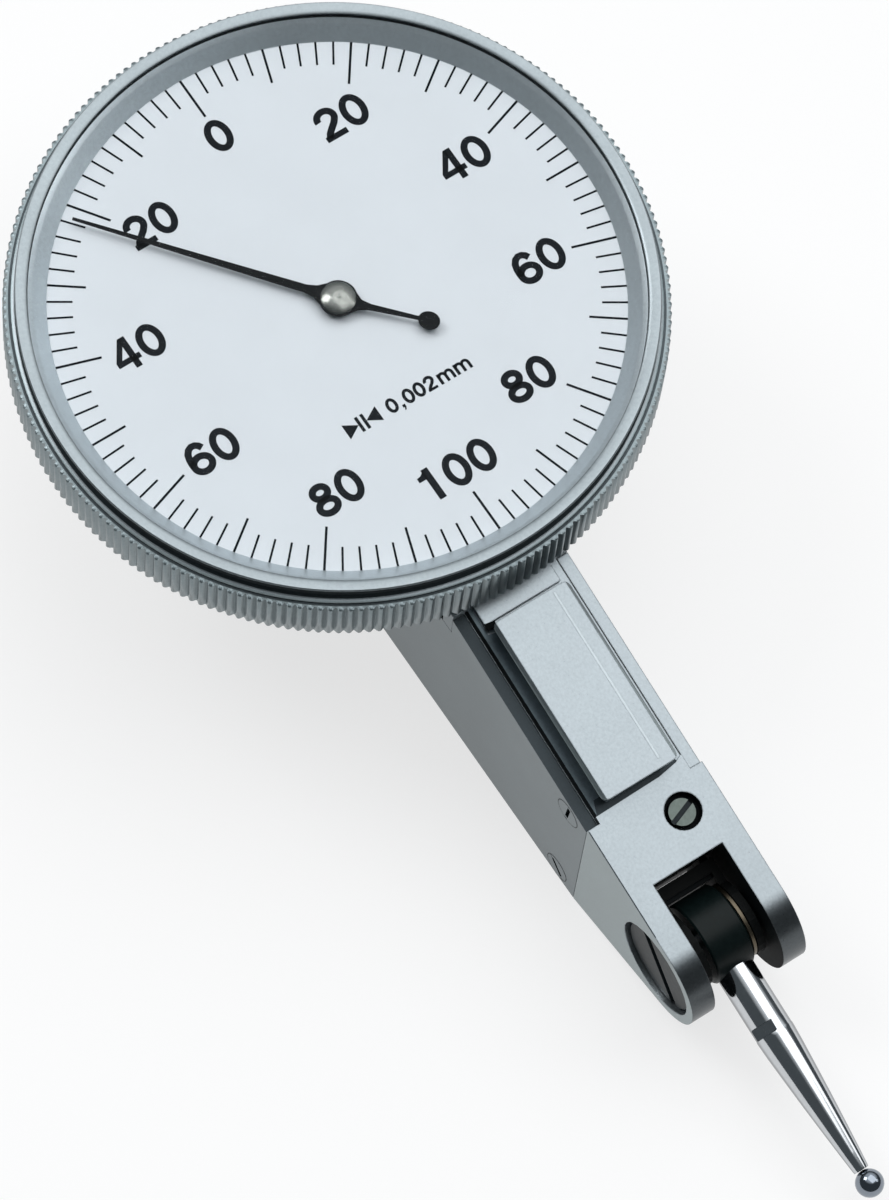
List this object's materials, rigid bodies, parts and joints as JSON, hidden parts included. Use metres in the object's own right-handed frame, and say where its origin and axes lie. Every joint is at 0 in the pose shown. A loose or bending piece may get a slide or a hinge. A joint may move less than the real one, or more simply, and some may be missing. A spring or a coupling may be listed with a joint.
{
  "type": "dial test indicator",
  "caption": "Lever dial test indicator with a round white dial, knurled turning bezel, dovetail rails and a swivelling ball-ended stylus.",
  "frame": {"origin": "on the flat back face, straight under the axis of the dial", "axes": "+X runs along the body towards the stylus, +Z runs out of the dial"},
  "size_m": [0.0881, 0.0442, 0.024],
  "materials": {
    "satin_chrome": "satin chrome plating",
    "bright_steel": "bright ground steel",
    "dark_steel": "blackened steel",
    "movement_brass": "plain brass",
    "black_paint": "matt black paint",
    "dial_white": "matt white paint",
    "ruby": "polished synthetic ruby",
    "crystal_clear": "clear polished crystal"
  },
  "bodies": {
    "indicator_body": {"body_frame": "satin_chrome", "dial_case": "satin_chrome", "left_side_cover": "satin_chrome", "right_side_cover": "satin_chrome", "left_cover_screw_1": "bright_steel", "left_cover_screw_2": "bright_steel", "left_cover_screw_3": "bright_steel", "left_pivot_screw": "dark_steel", "left_crown_bush": "ruby", "left_sector_bush": "movement_brass", "right_cover_screw_1": "bright_steel", "right_cover_screw_2": "bright_steel", "right_cover_screw_3": "bright_steel", "right_pivot_screw": "dark_steel", "right_crown_bush": "ruby", "right_sector_bush": "movement_brass", "face_adjusting_screw": "bright_steel", "bezel_friction_wire": "bright_steel", "upper_bridge": "movement_brass", "upper_jewel": "ruby", "bridge_screw_rear": "bright_steel", "bridge_screw_front": "bright_steel", "pinion_cock": "movement_brass", "lower_jewel": "ruby", "hairspring": "dark_steel", "hairspring_stud": "movement_brass"},
    "bezel": {"bezel_ring": "satin_chrome", "dial_plate": "dial_white", "dial_cone_ring": "satin_chrome", "crystal": "crystal_clear"},
    "pointer_group": {"centre_arbor": "bright_steel", "hairspring_collet": "movement_brass", "pointer": "black_paint", "pointer_hub_cap": "bright_steel"},
    "crown_gear": {"crown_wheel": "movement_brass", "crown_arbor": "bright_steel"},
    "sector": {"sector_lever": "movement_brass", "sector_arbor": "bright_steel"},
    "fork_lever": {"main_lever": "dark_steel", "drive_pin": "bright_steel", "stylus_axle": "bright_steel"},
    "stylus": {"stylus_drum": "dark_steel", "friction_washer": "movement_brass", "stylus_rod": "bright_steel", "contact_ball": "bright_steel"}
  },
  "joints": [
    {"name": "bezel_turn", "type": "hinge", "parent": "indicator_body", "child": "bezel", "pos_m": [0, 0, 0.0222], "axis": [0, 0, 1], "continuous": true},
    {"name": "lever_swing", "type": "hinge", "parent": "indicator_body", "child": "fork_lever", "pos_m": [0.046, 0, 0.00695], "axis": [0, 1, 0], "range_deg": [-0.7, 0.7]},
    {"name": "stylus_set", "type": "hinge", "parent": "fork_lever", "child": "stylus", "pos_m": [0.046, 0, 0.00695], "axis": [0, 1, 0], "range_deg": [-105, 105]},
    {"name": "sector_turn", "type": "hinge", "parent": "indicator_body", "child": "sector", "pos_m": [0.0245, 0, 0.00695], "axis": [0, 1, 0], "range_deg": [-2.5, 2.5]},
    {"name": "crown_turn", "type": "hinge", "parent": "indicator_body", "child": "crown_gear", "pos_m": [0, 0, 0.00695], "axis": [0, 1, 0], "range_deg": [-57.5, 57.5]},
    {"name": "pointer_turn", "type": "hinge", "parent": "indicator_body", "child": "pointer_group", "pos_m": [0, 0, 0.0222], "axis": [0, 0, 1], "range_deg": [-426, 426], "stiffness_Nm_per_rad": 0.00000065}
  ],
  "couplings": [
    {"joint": "lever_swing", "follows": "pointer_turn", "ratio": -0.0016408},
    {"joint": "sector_turn", "follows": "pointer_turn", "ratio": 0.0056738},
    {"joint": "crown_turn", "follows": "pointer_turn", "ratio": -0.13333}
  ]
}
